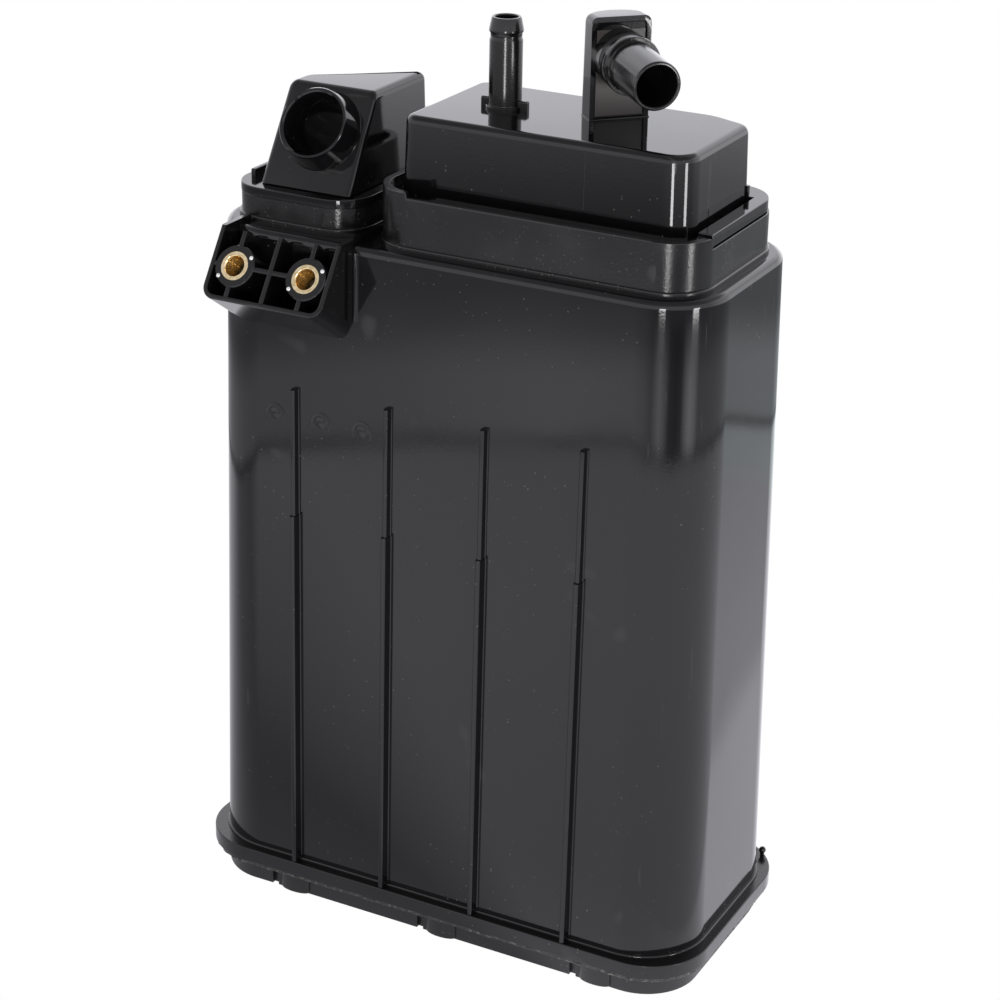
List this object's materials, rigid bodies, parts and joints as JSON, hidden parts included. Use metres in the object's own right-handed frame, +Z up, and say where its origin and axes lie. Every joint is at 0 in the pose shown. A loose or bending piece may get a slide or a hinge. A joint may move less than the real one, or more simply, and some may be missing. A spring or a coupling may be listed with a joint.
{
  "type": "charcoal canister",
  "caption": "Moulded plastic fuel-vapour charcoal canister with stiffening ribs, tilted mounting bracket with brass inserts, sloped air housing, purge nipple and angled tank port.",
  "frame": {"origin": "centre of the flat underside of the base cover", "axes": "+X to the right along the ribbed front face, +Y away from that face into the canister's depth, +Z up along its longest side"},
  "size_m": [0.1642, 0.0908, 0.2692],
  "materials": {
    "body_plastic": "smooth black moulded nylon with a clear shine",
    "cover_plastic": "black moulded nylon, duller than the body",
    "cap_plastic": "smooth black moulded nylon with a clear shine",
    "housing_plastic": "smooth black moulded nylon with a clear shine",
    "plate_plastic": "plain black moulded nylon",
    "brass": "turned brass",
    "spring_steel": "drawn wire",
    "felt": "pressed fibre",
    "carbon": "packed black granules"
  },
  "bodies": {
    "root": {"body_shell": "body_plastic", "base_cover": "cover_plastic", "tank_cap": "cap_plastic", "air_housing": "housing_plastic", "insert_left": "brass", "insert_right": "brass", "support_plate_main": "plate_plastic", "support_plate_air": "plate_plastic", "top_screen_main": "plate_plastic", "top_screen_air": "plate_plastic", "bottom_filter_main": "felt", "bottom_filter_air": "felt", "top_filter_main": "felt", "top_filter_air": "felt", "carbon_bed_main": "carbon", "carbon_bed_air": "carbon", "spring_main_left": "spring_steel", "spring_main_right": "spring_steel", "spring_air": "spring_steel"}
  },
  "joints": []
}
